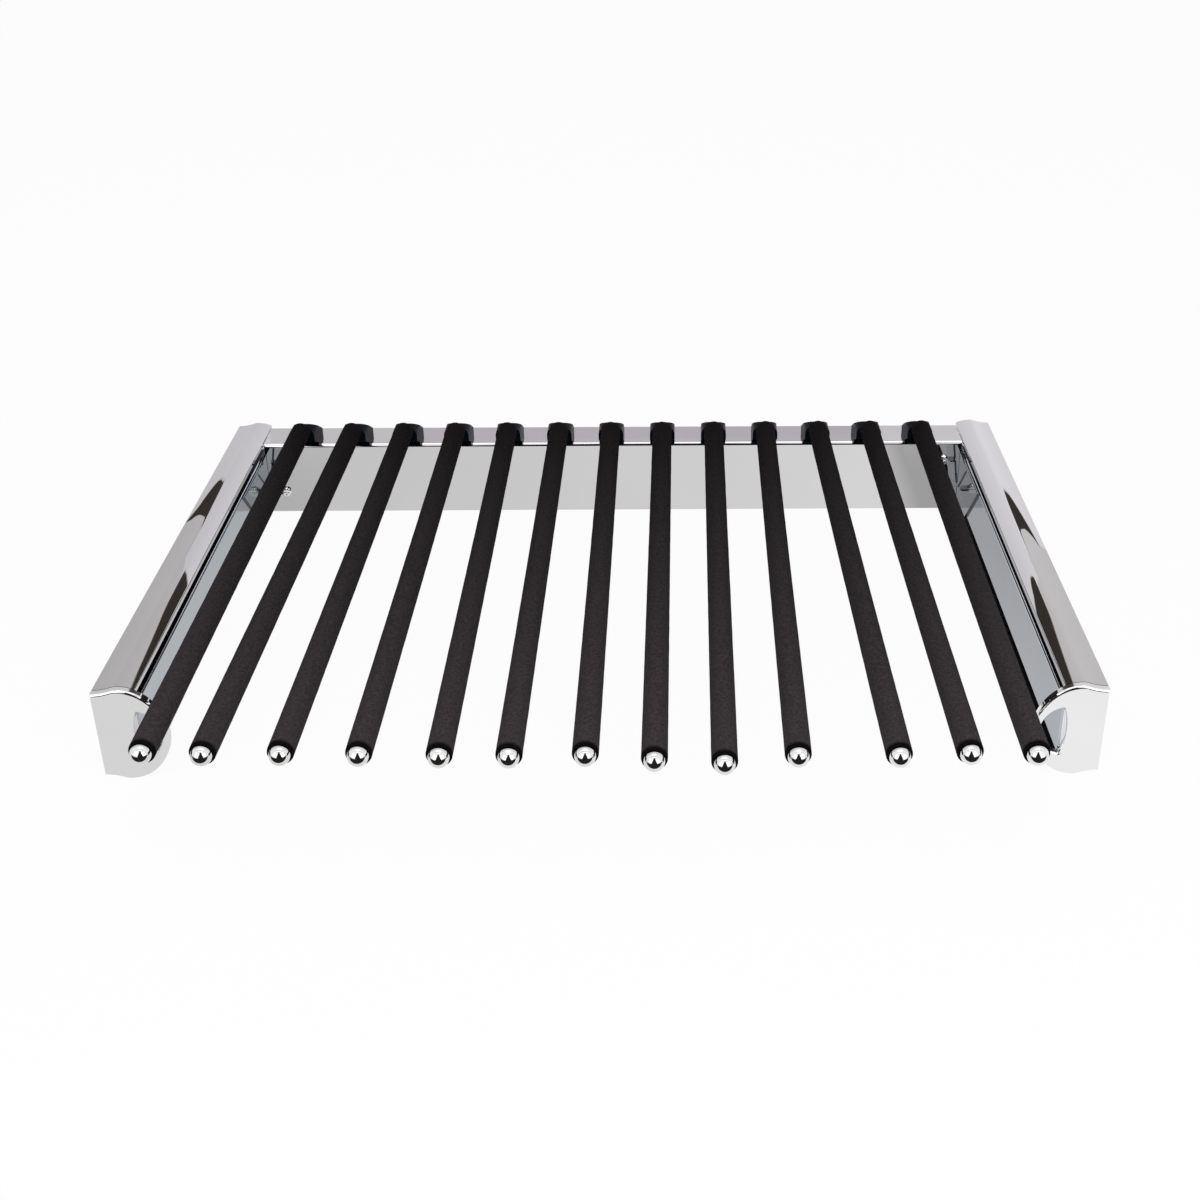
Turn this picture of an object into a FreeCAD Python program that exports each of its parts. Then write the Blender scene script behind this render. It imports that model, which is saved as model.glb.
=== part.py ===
import FreeCAD, Part
import math
import os
from FreeCAD import Vector

# Pull-out trouser rack for a wardrobe: two chromed side covers with ball slides inside, and a
# sliding frame of two side bars, a rear rail and a row of padded arms with ball ends.
# Millimetres. +Z is up, the arms point to -Y, the covers lie at +X and -X.
# The origin is under the middle of the whole rack, at the height that it stands on.

# Whole rack
overall_width = 607.0
cover_length = 400.0
arm_reach = 93.0

# Side cover and end cap: flat gable side, a wave up to a crest, then a round nose
gable_height = 58.0
crest_rise = 2.7
crest_inset = 15.3
crest_swell = 2.9
nose_depth = 28.0
nose_tightening = 3.0
cover_wall = 1.2
lip_inset = 26.0
lip_drop = 2.7
fold_radius = 1.0
wall_hole_diameter = 4.5
wall_hole_inset = 8.0

# End cap with its finger window
cap_gap = 0.5
cap_thickness = 5.0
cap_edge_radius = 1.6
window_height = 32.8
window_outer_inset = 25.6
window_outer_bulge = 2.6
window_ring = 4.3
window_corner_radius = 1.2
boss_length = 14.0
boss_clearance = 0.1
cap_screw_inset = 7.0

# Ball slide with three members
slide_inset = 25.0
slide_height = 45.0
slide_depth = 12.7
member_wall = 1.2
outer_flange_wall = 2.0
middle_flange_wall = 2.1
inner_flange_wall = 2.1
outer_flange_depth = 9.5
middle_flange_start = 3.0
middle_flange_end = 10.4
inner_flange_start = 6.5
groove_depth = 0.45
race_clearance = 0.15
outer_ball_diameter = 4.0
outer_ball_depth = 6.0
inner_ball_diameter = 3.0
inner_ball_depth = 8.2
cage_wall = 0.8
cage_gap = 0.5
cage_length = 120.0
cage_edge = 2.6
ball_count = 5
ball_pitch = 24.0
buffer_length = 8.0
buffer_height = 18.0
stop_gap = 0.3
rivet_diameter = 5.0
rivet_spacing = 240.0
rivet_clearance = 0.05

# Side bar of the sliding frame: a flat tube
bar_height = 39.0
bar_depth = 12.0
bar_wall = 1.2
bar_corner_radius = 2.0
bar_rear_inset = 1.0

# Rear rail: folded sheet, open below
rail_drop = 1.1
rail_height = 58.6
rail_depth = 35.0
rail_wall = 1.5
rail_bend_radius = 3.0
rail_rear_flange = 25.0
rail_side_clearance = 0.5
rail_slot_height = 5.0
rail_slot_run = 8.0

# Corner bracket between side bar and rail
bracket_wall = 1.5
bracket_edge_flat = 0.3
bracket_height = 38.0
bracket_reach_top = 78.0
bracket_reach_bottom = 40.0
bracket_leg = 34.0
bracket_fit = 0.2
rib_width = 2.5
rib_height = 0.8
rib_front = 31.0
rib_drop = 28.0
rib_top_inset = 3.0

# Fasteners
screw_diameter = 4.0
screw_head_diameter = 8.0
screw_head_height = 2.6
screw_head_round = 1.6
slot_length = 4.6
slot_width = 0.9
slot_depth = 1.3
screw_hole_clearance = 0.1
cut_through = 3.0
nut_across_flats = 7.0
nut_height = 3.2
nut_sides = 6
screw_tail = 2.0
rail_screws_in = 14.6
rail_screws_up = 12.3
rail_screw_step_down = 25.5
bracket_rivet_diameter = 4.0
bracket_rivet_tail_diameter = 6.5
bracket_rivet_tail_height = 1.0
bracket_rivet_front = 35.0
bracket_rivet_up = 10.3
bracket_rivet_step_back = 14.0
bracket_rivet_step_down = 22.0
slide_screw_spacing = 260.0
slide_screw_head_diameter = 7.0
slide_screw_head_height = 1.6
cap_screw_diameter = 3.0
cap_screw_head_diameter = 5.6
cap_screw_head_height = 1.4
cap_screw_length = 6.0

# Arms: plastic socket on the rail, steel tube on its spigot, soft sleeve, ball end
arm_count = 13
arm_end_margin = 34.6
arm_row_shift = -1.0
arm_height = 15.4
socket_width = 19.4
socket_height = 18.0
socket_corner_radius = 7.0
socket_nose = 9.5
socket_nose_lift = 6.6
socket_heel = 1.0
socket_top_run = 8.5
socket_length = 22.0
socket_fall = 30.0
socket_pivot = 12.0
socket_screw_depth = 5.0
spigot_diameter = 6.3
spigot_length = 26.0
tube_diameter = 9.0
tube_wall = 1.0
tube_gap = 0.2
sleeve_diameter = 14.9
sleeve_edge_radius = 1.3
sleeve_fit = 0.05
ball_end_diameter = 12.0
ball_end_offset = 1.2
ball_stem_length = 20.0
ball_stem_fit = 0.05
# Each arm stands a little off square in its socket: degrees to the right, degrees down
arm_set = [
    (-0.3, -0.4), (-1.25, -0.25), (-1.0, -0.25), (-0.75, -0.15), (-0.35, 0.0), (-0.65, 0.05),
    (-0.5, -0.05), (-0.85, 0.4), (-1.1, 0.7), (-1.15, 0.1), (0.65, 0.15), (0.4, -0.05), (-0.1, 0.05),
]

# Places worked out from the sizes
half_width = overall_width / 2.0
crest_height = gable_height / 2.0 + crest_rise
nose_crest_radius = nose_depth - nose_tightening
nose_lift = crest_height - nose_crest_radius
nose_flank_radius = (nose_depth ** 2 + nose_lift ** 2 - nose_crest_radius ** 2) / (2.0 * nose_tightening)
innermost_inset = crest_inset + nose_depth
window_inner_inset = innermost_inset - window_ring
middle_z = crest_height
top_z = middle_z + gable_height / 2.0
rail_top_z = top_z - rail_drop
overall_depth = cover_length + cap_gap + cap_thickness + arm_reach
rear_y = overall_depth / 2.0
cover_front_y = rear_y - cover_length
wall_hole_spacing = cover_length - 2.0 * wall_hole_inset
cap_back_y = cover_front_y - cap_gap
cap_front_y = cap_back_y - cap_thickness
slide_front_y = cover_front_y + slide_inset
slide_rear_y = rear_y - slide_inset
slide_middle_y = (slide_front_y + slide_rear_y) / 2.0
member_rear_y = slide_rear_y - buffer_length - stop_gap
bar_outer_inset = cover_wall + slide_depth
bar_inner_inset = bar_outer_inset + bar_depth
bar_inner_x = half_width - bar_inner_inset
rail_front_y = rear_y - rail_depth
rail_half = half_width - lip_inset - rail_side_clearance
bracket_inner_x = bar_inner_x - bracket_wall
bracket_back_y = rail_front_y + rail_wall + bracket_wall
bracket_top_z = middle_z + bracket_height / 2.0
bracket_bottom_z = middle_z - bracket_height / 2.0
arm_pitch = 2.0 * (rail_half - arm_end_margin) / (arm_count - 1)
arm_z = rail_top_z + arm_height
nose_y = rail_front_y - socket_nose
ball_radius = ball_end_diameter / 2.0
ball_y = -rear_y + ball_radius
sleeve_front_y = ball_y + ball_end_offset
tube_bore_radius = tube_diameter / 2.0 - tube_wall
tube_front_y = ball_y + math.sqrt(ball_radius ** 2 - tube_bore_radius ** 2) + tube_gap

os.makedirs("parts", exist_ok=True)


def save(name, shape):
    shape.exportStep("parts/" + name + ".step")


def mirrored(shape):
    return shape.mirror(Vector(0, 0, 0), Vector(1, 0, 0))


def save_pair(name, shape):
    save("right_" + name, shape)
    save("left_" + name, mirrored(shape))


def save_group(name, shapes):
    save(name, Part.makeCompound(shapes))


def both_sides(shapes):
    return shapes + [mirrored(shape) for shape in shapes]


def side_point(inset, y, z):
    return Vector(half_width - inset, y, z)


def side_box(inset_range, y_range, z_range):
    low = side_point(inset_range[1], y_range[0], z_range[0])
    size = [limits[1] - limits[0] for limits in (inset_range, y_range, z_range)]
    return Part.makeBox(size[0], size[1], size[2], low)


def arc(start, middle, end):
    return Part.Arc(start, middle, end).toShape()


def line(start, end):
    return Part.LineSegment(start, end).toShape()


def polygon_face(points):
    return Part.Face(Part.makePolygon(points + [points[0]]))


def edges_at(shape, test):
    return [edge for edge in shape.Edges if test(edge.BoundBox)]


def wave_edges(y, side):
    """The wave from the gable corner to the crest, on top (side 1) or below (side -1)."""
    slope = 2.0 * math.atan2(crest_rise, crest_inset)
    hollow_run = crest_inset - crest_swell
    corner = gable_height / 2.0
    crest = corner + crest_rise

    def point(inset, height):
        return side_point(inset, y, middle_z + side * height)

    def bend(run, angle):
        """How far an arc that turns through the whole slope along run has gone, and risen, at an angle."""
        radius = run / math.sin(slope)
        return radius * math.sin(angle), radius * (1.0 - math.cos(angle))

    hollow_half, hollow_half_rise = bend(hollow_run, slope / 2.0)
    swell_half, swell_half_rise = bend(crest_swell, slope / 2.0)
    turn = point(hollow_run, corner + bend(hollow_run, slope)[1])
    hollow = arc(point(0, corner), point(hollow_half, corner + hollow_half_rise), turn)
    swell = arc(turn, point(crest_inset - swell_half, crest - swell_half_rise), point(crest_inset, crest))
    return [hollow, swell]


def nose_point(inset, y, side):
    """A point on the nose's crest arc, on top (side 1) or below (side -1)."""
    height = nose_lift + math.sqrt(nose_crest_radius ** 2 - (inset - crest_inset) ** 2)
    return side_point(inset, y, middle_z + side * height)


def gable_line(y):
    return line(side_point(0, y, middle_z - gable_height / 2.0), side_point(0, y, top_z))


def pan_head_screw(place, outward, length):
    """A pan-head screw with a cross recess, its head standing out of the face along outward."""
    head = Part.makeCylinder(screw_head_diameter / 2.0, screw_head_height)
    rim = edges_at(head, lambda box: box.ZMin > screw_head_height / 2.0)
    head = head.makeFillet(screw_head_round, rim)
    shank = Part.makeCylinder(screw_diameter / 2.0, length, Vector(0, 0, -length))
    screw = head.fuse(shank)
    for size in ((slot_length, slot_width), (slot_width, slot_length)):
        low = Vector(-size[0] / 2.0, -size[1] / 2.0, screw_head_height - slot_depth)
        screw = screw.cut(Part.makeBox(size[0], size[1], slot_depth, low))
    screw = screw.removeSplitter()
    screw.Placement = FreeCAD.Placement(place, FreeCAD.Rotation(Vector(0, 0, 1), outward))
    return screw


def screw_hole(place, along, length):
    start = place - along * length / 2.0
    return Part.makeCylinder(screw_diameter / 2.0 + screw_hole_clearance, length, start, along)


# Side covers: bent sheet with a mouth towards the middle, screwed to the wardrobe's side panel
def make_cover():
    y = cover_front_y
    lip_turn = math.asin((lip_inset - crest_inset) / nose_crest_radius)
    half_lip_inset = crest_inset + nose_crest_radius * math.sin(lip_turn / 2.0)
    edges = [gable_line(y), line(nose_point(lip_inset, y, 1), nose_point(lip_inset, y, -1))]
    for side in (1, -1):
        insets = (crest_inset, half_lip_inset, lip_inset)
        edges += wave_edges(y, side)
        edges.append(arc(*[nose_point(inset, y, side) for inset in insets]))
    outline = Part.Face(Part.Wire(Part.__sortEdges__(edges)))
    hollow = outline.makeOffset2D(-cover_wall)
    run = Vector(0, cover_length, 0)
    body = outline.extrude(run)
    fold_x = half_width - lip_inset
    lip_z = nose_point(lip_inset, y, 1).z - middle_z
    folds = edges_at(body, lambda box: box.XMax < fold_x + cover_wall and box.YLength > cover_length / 2.0)
    body = body.makeFillet(fold_radius, folds).cut(hollow.extrude(run))
    mouth = lip_z - lip_drop
    body = body.cut(side_box((lip_inset - 2.0 * cover_wall, lip_inset + cover_wall), (y, rear_y),
                             (middle_z - mouth, middle_z + mouth)))
    for hole_y in wall_hole_places():
        start = side_point(2.0 * cover_wall, hole_y, middle_z)
        length = cut_through * cover_wall
        body = body.cut(Part.makeCylinder(wall_hole_diameter / 2.0, length, start, Vector(1, 0, 0)))
    for rivet_y in rivet_places():
        body = body.cut(rivet_hole(rivet_y))
    return body


def wall_hole_places():
    cover_middle_y = (cover_front_y + rear_y) / 2.0
    return [cover_middle_y - wall_hole_spacing / 2.0, cover_middle_y + wall_hole_spacing / 2.0]


def rivet_places():
    return [slide_middle_y - rivet_spacing / 2.0, slide_middle_y + rivet_spacing / 2.0]


def rivet_solid(y, radius):
    length = cover_wall + member_wall
    return Part.makeCylinder(radius, length, side_point(length, y, middle_z), Vector(1, 0, 0))


def rivet_hole(y):
    return rivet_solid(y, rivet_diameter / 2.0 + rivet_clearance)


# Ball slides: an outer member in the cover, a middle member, and an inner member on the side bar
def slide_box(depth_range, y_range, z_range):
    inset = (cover_wall + depth_range[0], cover_wall + depth_range[1])
    return side_box(inset, y_range, z_range)


def flange_pair(depth_range, y_range, height_range):
    upper = slide_box(depth_range, y_range, (middle_z + height_range[0], middle_z + height_range[1]))
    lower = slide_box(depth_range, y_range, (middle_z - height_range[1], middle_z - height_range[0]))
    return [upper, lower]


def channel(web_range, flange_range, y_range, height, flange_wall):
    """A U section: an upright web with a flange above and below."""
    web = slide_box(web_range, y_range, (middle_z - height, middle_z + height))
    return web.multiFuse(flange_pair(flange_range, y_range, (height - flange_wall, height))).removeSplitter()


def race_pair(depth, height, radius, y_range):
    length = y_range[1] - y_range[0]
    races = []
    for z in (middle_z + height, middle_z - height):
        start = side_point(cover_wall + depth, y_range[0], z)
        races.append(Part.makeCylinder(radius, length, start, Vector(0, 1, 0)))
    return races


outer_race_radius = outer_ball_diameter / 2.0 + race_clearance
inner_race_radius = inner_ball_diameter / 2.0 + race_clearance
outer_half = slide_height / 2.0
outer_ball_height = outer_half - outer_flange_wall + groove_depth - outer_race_radius
middle_half = outer_ball_height - outer_race_radius + groove_depth
inner_ball_height = middle_half - middle_flange_wall + groove_depth - inner_race_radius
inner_half = inner_ball_height - inner_race_radius + groove_depth
middle_web_end = middle_flange_start + member_wall
inner_web_start = slide_depth - member_wall


def make_outer_member():
    y_range = (slide_front_y, slide_rear_y)
    member = channel((0, member_wall), (0, outer_flange_depth), y_range, outer_half, outer_flange_wall)
    member = member.cut(race_pair(outer_ball_depth, outer_ball_height, outer_race_radius, y_range))
    for y in rivet_places():
        member = member.cut(rivet_hole(y))
    return member


def make_middle_member():
    y_range = (slide_front_y, member_rear_y)
    web = (middle_flange_start, middle_web_end)
    member = channel(web, (middle_flange_start, middle_flange_end), y_range, middle_half, middle_flange_wall)
    member = member.cut(race_pair(outer_ball_depth, outer_ball_height, outer_race_radius, y_range))
    return member.cut(race_pair(inner_ball_depth, inner_ball_height, inner_race_radius, y_range))


def make_inner_member():
    y_range = (slide_front_y, member_rear_y)
    web = (inner_web_start, slide_depth)
    member = channel(web, (inner_flange_start, slide_depth), y_range, inner_half, inner_flange_wall)
    member = member.cut(race_pair(inner_ball_depth, inner_ball_height, inner_race_radius, y_range))
    for y in slide_screw_places():
        place = side_point(bar_outer_inset, y, middle_z)
        member = member.cut(screw_hole(place, Vector(1, 0, 0), cut_through * member_wall))
    return member


def cage_range():
    return (slide_middle_y - cage_length / 2.0, slide_middle_y + cage_length / 2.0)


def ball_places(depth, height):
    places = []
    for index in range(ball_count):
        y = slide_middle_y + (index - (ball_count - 1) / 2.0) * ball_pitch
        for z in (middle_z + height, middle_z - height):
            places.append(side_point(cover_wall + depth, y, z))
    return places


def make_cage(web_start, ball_depth, ball_height, pocket_radius):
    """A sheet cage that keeps the balls of one race pair apart."""
    half = ball_height + cage_wall / 2.0
    web = (web_start, web_start + cage_wall)
    flange = (web_start, ball_depth + cage_edge)
    cage = channel(web, flange, cage_range(), half, cage_wall)
    for place in ball_places(ball_depth, ball_height):
        start = place - Vector(0, 0, cage_wall)
        cage = cage.cut(Part.makeCylinder(pocket_radius, 2.0 * cage_wall, start))
    return cage


def make_balls(diameter, depth, height):
    return [Part.makeSphere(diameter / 2.0, place) for place in ball_places(depth, height)]


def make_buffer():
    y_range = (slide_rear_y - buffer_length, slide_rear_y)
    z_range = (middle_z - buffer_height / 2.0, middle_z + buffer_height / 2.0)
    return slide_box((member_wall, slide_depth - cage_gap), y_range, z_range)


def make_rivets():
    return [rivet_solid(y, rivet_diameter / 2.0) for y in rivet_places()]


# Side bars: flat tubes on the inner slide members, which carry the rail and the end caps
def slide_screw_places():
    return [slide_middle_y - slide_screw_spacing / 2.0, slide_middle_y + slide_screw_spacing / 2.0]


def bracket_rivet_points():
    first = Vector(bracket_inner_x, rail_front_y - bracket_rivet_front, middle_z + bracket_rivet_up)
    return [first, first + Vector(0, bracket_rivet_step_back, -bracket_rivet_step_down)]


def bracket_rivet_shank(point, radius):
    return Part.makeCylinder(radius, bracket_wall + bar_wall, point, Vector(1, 0, 0))


def bracket_rivet_hole(point):
    return bracket_rivet_shank(point, bracket_rivet_diameter / 2.0 + rivet_clearance)


def cap_screw_point():
    inset = (bar_outer_inset + bar_inner_inset) / 2.0
    return side_point(inset, cap_back_y + cap_screw_inset, middle_z - bar_height / 2.0)


def make_bar():
    y_range = (cap_back_y, rear_y - bar_rear_inset)
    z_range = (middle_z - bar_height / 2.0, middle_z + bar_height / 2.0)
    bar = side_box((bar_outer_inset, bar_inner_inset), y_range, z_range)
    corners = edges_at(bar, lambda box: box.YLength > cover_length / 2.0)
    bar = bar.makeFillet(bar_corner_radius, corners)
    hollow = side_box((bar_outer_inset + bar_wall, bar_inner_inset - bar_wall), y_range,
                      (z_range[0] + bar_wall, z_range[1] - bar_wall))
    hollow_corners = edges_at(hollow, lambda box: box.YLength > cover_length / 2.0)
    bar = bar.cut(hollow.makeFillet(bar_corner_radius - bar_wall, hollow_corners))
    for y in slide_screw_places():
        place = side_point(bar_outer_inset, y, middle_z)
        bar = bar.cut(screw_hole(place, Vector(1, 0, 0), cut_through * bar_wall))
    for point in bracket_rivet_points():
        bar = bar.cut(bracket_rivet_hole(point))
    start = cap_screw_point() - Vector(0, 0, bar_wall / 2.0)
    return bar.cut(Part.makeCylinder(cap_screw_diameter / 2.0 + screw_hole_clearance, 2.0 * bar_wall, start))


def make_slide_screws():
    screws = []
    for y in slide_screw_places():
        face = side_point(cover_wall + inner_web_start, y, middle_z)
        head_radius = slide_screw_head_diameter / 2.0
        head = Part.makeCylinder(head_radius, slide_screw_head_height, face, Vector(1, 0, 0))
        length = member_wall + bar_wall + screw_tail
        screws.append(head.fuse(Part.makeCylinder(screw_diameter / 2.0, length, face, Vector(-1, 0, 0))))
    return screws


# End caps: thick D-shaped plates on the front of the side bars, with a finger window to pull by
def make_cap():
    y = cap_front_y
    flank_turn = math.atan2(nose_lift, nose_flank_radius - nose_depth)
    flank_inset = crest_inset + nose_crest_radius * math.cos(flank_turn)
    half_crest_turn = (math.pi / 2.0 - flank_turn) / 2.0
    half_crest_inset = crest_inset + nose_crest_radius * math.sin(half_crest_turn)
    edges = [gable_line(y)]
    for side in (1, -1):
        insets = (crest_inset, half_crest_inset, flank_inset)
        edges += wave_edges(y, side)
        edges.append(arc(*[nose_point(inset, y, side) for inset in insets]))
    innermost = side_point(innermost_inset, y, middle_z)
    edges.append(arc(nose_point(flank_inset, y, 1), innermost, nose_point(flank_inset, y, -1)))
    outline = Part.Face(Part.Wire(Part.__sortEdges__(edges)))
    thickness = Vector(0, cap_thickness, 0)
    upper = side_point(window_outer_inset, y, middle_z + window_height / 2.0)
    lower = side_point(window_outer_inset, y, middle_z - window_height / 2.0)
    outer_side = arc(upper, side_point(window_outer_inset - window_outer_bulge, y, middle_z), lower)
    inner_side = arc(lower, side_point(window_inner_inset, y, middle_z), upper)
    window = Part.Face(Part.Wire([outer_side, inner_side])).extrude(thickness)
    window_corners = edges_at(window, lambda box: box.YLength > cap_thickness / 2.0)
    cap = outline.extrude(thickness).cut(window.makeFillet(window_corner_radius, window_corners))
    front_edges = edges_at(cap, lambda box: box.YMax < cap_front_y + cap_thickness / 2.0)
    cap = cap.makeFillet(cap_edge_radius, front_edges)
    skin = bar_wall + boss_clearance
    boss_half = bar_height / 2.0 - skin
    boss = side_box((bar_outer_inset + skin, bar_inner_inset - skin), (cap_back_y, cap_back_y + boss_length),
                    (middle_z - boss_half, middle_z + boss_half))
    boss_corners = edges_at(boss, lambda box: box.YLength > boss_length / 2.0)
    boss = boss.makeFillet(bar_corner_radius - bar_wall, boss_corners)
    hole = Part.makeCylinder(cap_screw_diameter / 2.0, cap_screw_length, cap_screw_point())
    return cap.fuse(boss).removeSplitter().cut(hole)


def make_cap_screw():
    face = cap_screw_point()
    head_radius = cap_screw_head_diameter / 2.0
    head = Part.makeCylinder(head_radius, cap_screw_head_height, face, Vector(0, 0, -1))
    return head.fuse(Part.makeCylinder(cap_screw_diameter / 2.0, cap_screw_length, face))


# Rear rail: one folded sheet between the side bars, with the arms along its top
def socket_screw_points():
    points = []
    for index in range(arm_count):
        x = arm_row_shift + (index - (arm_count - 1) / 2.0) * arm_pitch
        points.append(Vector(x, rail_front_y + socket_pivot, rail_top_z - rail_wall))
    return points


def rail_screw_points():
    first = Vector(bar_inner_x - rail_screws_in, rail_front_y, middle_z + rail_screws_up)
    return [first, first - Vector(0, 0, rail_screw_step_down)]


def rail_slot(point):
    """A slot in the rail's front that runs out from a screw, to set the rack's width."""
    depth = cut_through * rail_wall
    start = point - Vector(0, depth / 2.0, 0)
    run = Vector(rail_slot_run, 0, 0)
    radius = rail_slot_height / 2.0
    middle = Part.makeBox(rail_slot_run, depth, rail_slot_height, start - Vector(0, 0, radius))
    ends = [Part.makeCylinder(radius, depth, end, Vector(0, 1, 0)) for end in (start, start + run)]
    return middle.multiFuse(ends).removeSplitter()


def make_rail():
    length = 2.0 * rail_half
    bottom_z = rail_top_z - rail_height
    rail = Part.makeBox(length, rail_depth, rail_height, Vector(-rail_half, rail_front_y, bottom_z))
    bends = edges_at(rail, lambda box: box.XLength > rail_half and box.ZMin > middle_z)
    rail = rail.makeFillet(rail_bend_radius, bends)
    hollow = Part.makeBox(length, rail_depth - 2.0 * rail_wall, rail_height,
                          Vector(-rail_half, rail_front_y + rail_wall, bottom_z - rail_wall))
    inner_bends = edges_at(hollow, lambda box: box.XLength > rail_half and box.ZMin > middle_z)
    rail = rail.cut(hollow.makeFillet(rail_bend_radius - rail_wall, inner_bends))
    below_flange = Part.makeBox(length, rail_wall, rail_height - rail_rear_flange,
                                Vector(-rail_half, rear_y - rail_wall, bottom_z))
    rail = rail.cut(below_flange)
    notch_x = bracket_inner_x - bracket_fit
    notch = Part.makeBox(rail_half - notch_x, bracket_wall, bracket_top_z + bracket_fit - bottom_z,
                         Vector(notch_x, rail_front_y, bottom_z))
    rail = rail.cut(both_sides([notch]))
    holes = [screw_hole(point, Vector(0, 0, 1), cut_through * rail_wall) for point in socket_screw_points()]
    holes += both_sides([rail_slot(point) for point in rail_screw_points()])
    return rail.cut(holes)


# Corner brackets: bent plates that tie the rail to the side bars, with a rounded top edge
def at_bracket_top(box):
    return box.ZMin > bracket_top_z - bracket_wall and box.XMax < bracket_inner_x + bracket_wall / 2.0


def make_bracket():
    points = [
        Vector(bracket_inner_x, rail_front_y - bracket_reach_top, bracket_top_z),
        Vector(bracket_inner_x, bracket_back_y, bracket_top_z),
        Vector(bracket_inner_x, bracket_back_y, bracket_bottom_z),
        Vector(bracket_inner_x, rail_front_y - bracket_reach_bottom, bracket_bottom_z),
    ]
    side_leg = polygon_face(points).extrude(Vector(bracket_wall, 0, 0))
    top_edge = edges_at(side_leg, at_bracket_top)
    side_leg = side_leg.makeFillet(bracket_wall - bracket_edge_flat, top_edge)
    leg_low = Vector(bar_inner_x - bracket_leg, bracket_back_y - bracket_wall, bracket_bottom_z)
    rail_leg = Part.makeBox(bracket_leg, bracket_wall, bracket_height, leg_low)
    rib_top = Vector(bracket_inner_x - rib_height, rail_front_y - rib_front, bracket_top_z - rib_top_inset)
    rib_points = [
        rib_top,
        rib_top + Vector(0, rib_width, 0),
        rib_top + Vector(0, rib_drop, rib_width - rib_drop),
        rib_top + Vector(0, rib_drop - rib_width, rib_width - rib_drop),
    ]
    rib = polygon_face(rib_points).extrude(Vector(rib_height, 0, 0))
    bracket = side_leg.multiFuse([rail_leg, rib]).removeSplitter()
    depth = cut_through * (rail_wall + bracket_wall)
    holes = [bracket_rivet_hole(point) for point in bracket_rivet_points()]
    holes += [screw_hole(point, Vector(0, 1, 0), depth) for point in rail_screw_points()]
    return bracket.cut(holes)


def make_bracket_rivets():
    rivets = []
    for point in bracket_rivet_points():
        shank = bracket_rivet_shank(point, bracket_rivet_diameter / 2.0)
        tail_face = point + Vector(bracket_wall + bar_wall, 0, 0)
        tail_radius = bracket_rivet_tail_diameter / 2.0
        tail = Part.makeCylinder(tail_radius, bracket_rivet_tail_height, tail_face, Vector(1, 0, 0))
        rivets.append(shank.fuse(tail))
    return rivets


def make_rail_screws():
    length = rail_wall + bracket_wall + nut_height + screw_tail
    return [pan_head_screw(point, Vector(0, -1, 0), length) for point in rail_screw_points()]


def make_rail_nuts():
    nuts = []
    step = 2.0 * math.pi / nut_sides
    radius = nut_across_flats / 2.0 / math.cos(step / 2.0)
    turns = [step * index for index in range(nut_sides)]
    for point in rail_screw_points():
        centre = Vector(point.x, bracket_back_y, point.z)
        corners = [centre + Vector(radius * math.cos(turn), 0, radius * math.sin(turn)) for turn in turns]
        nut = polygon_face(corners).extrude(Vector(0, nut_height, 0))
        nuts.append(nut.cut(screw_hole(centre, Vector(0, 1, 0), cut_through * nut_height)))
    return nuts


# Arms: each socket is held by one screw from below, and may stand a little off square
def lean(shape, index):
    pivot = socket_screw_points()[index]
    turned = shape.copy()
    turned.rotate(pivot, Vector(0, 0, 1), arm_set[index][0])
    return turned


def droop_and_lean(shape, index):
    hanging = shape.copy()
    hanging.rotate(Vector(0, nose_y, arm_z), Vector(1, 0, 0), arm_set[index][1])
    return lean(hanging, index)


def arm_x(index):
    return socket_screw_points()[index].x


def make_socket(index):
    x = arm_x(index)
    half = socket_width / 2.0
    heel_y = rail_front_y + socket_length
    block = Part.makeBox(socket_width, heel_y - nose_y, socket_height, Vector(x - half, nose_y, rail_top_z))
    shoulders = edges_at(block, lambda box: box.YLength > socket_nose and box.ZMin > rail_top_z)
    block = block.makeFillet(socket_corner_radius, shoulders)
    crown_z = rail_top_z + socket_height
    fall_y = nose_y + socket_top_run
    fall = (heel_y - fall_y) * math.tan(math.radians(socket_fall))
    profile = [
        Vector(x - half, nose_y, rail_top_z + socket_nose_lift),
        Vector(x - half, nose_y, crown_z),
        Vector(x - half, fall_y, crown_z),
        Vector(x - half, heel_y, crown_z - fall),
        Vector(x - half, heel_y, rail_top_z),
        Vector(x - half, rail_front_y + rail_bend_radius + socket_heel, rail_top_z),
    ]
    socket = block.common(polygon_face(profile).extrude(Vector(socket_width, 0, 0)))
    root = Vector(x, nose_y, arm_z)
    spigot = Part.makeCylinder(spigot_diameter / 2.0, spigot_length, root, Vector(0, -1, 0))
    screw_top = Vector(x, rail_front_y + socket_pivot, rail_top_z)
    hole = Part.makeCylinder(screw_diameter / 2.0, socket_screw_depth, screw_top)
    return lean(socket.fuse(spigot).cut(hole), index)


def make_socket_screw(index):
    point = socket_screw_points()[index]
    return pan_head_screw(point, Vector(0, 0, -1), rail_wall + socket_screw_depth)


def make_tube(index):
    start = Vector(arm_x(index), tube_front_y, arm_z)
    length = nose_y - tube_gap - tube_front_y
    outside = Part.makeCylinder(tube_diameter / 2.0, length, start, Vector(0, 1, 0))
    bore = Part.makeCylinder(tube_bore_radius, length, start, Vector(0, 1, 0))
    return droop_and_lean(outside.cut(bore), index)


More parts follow.
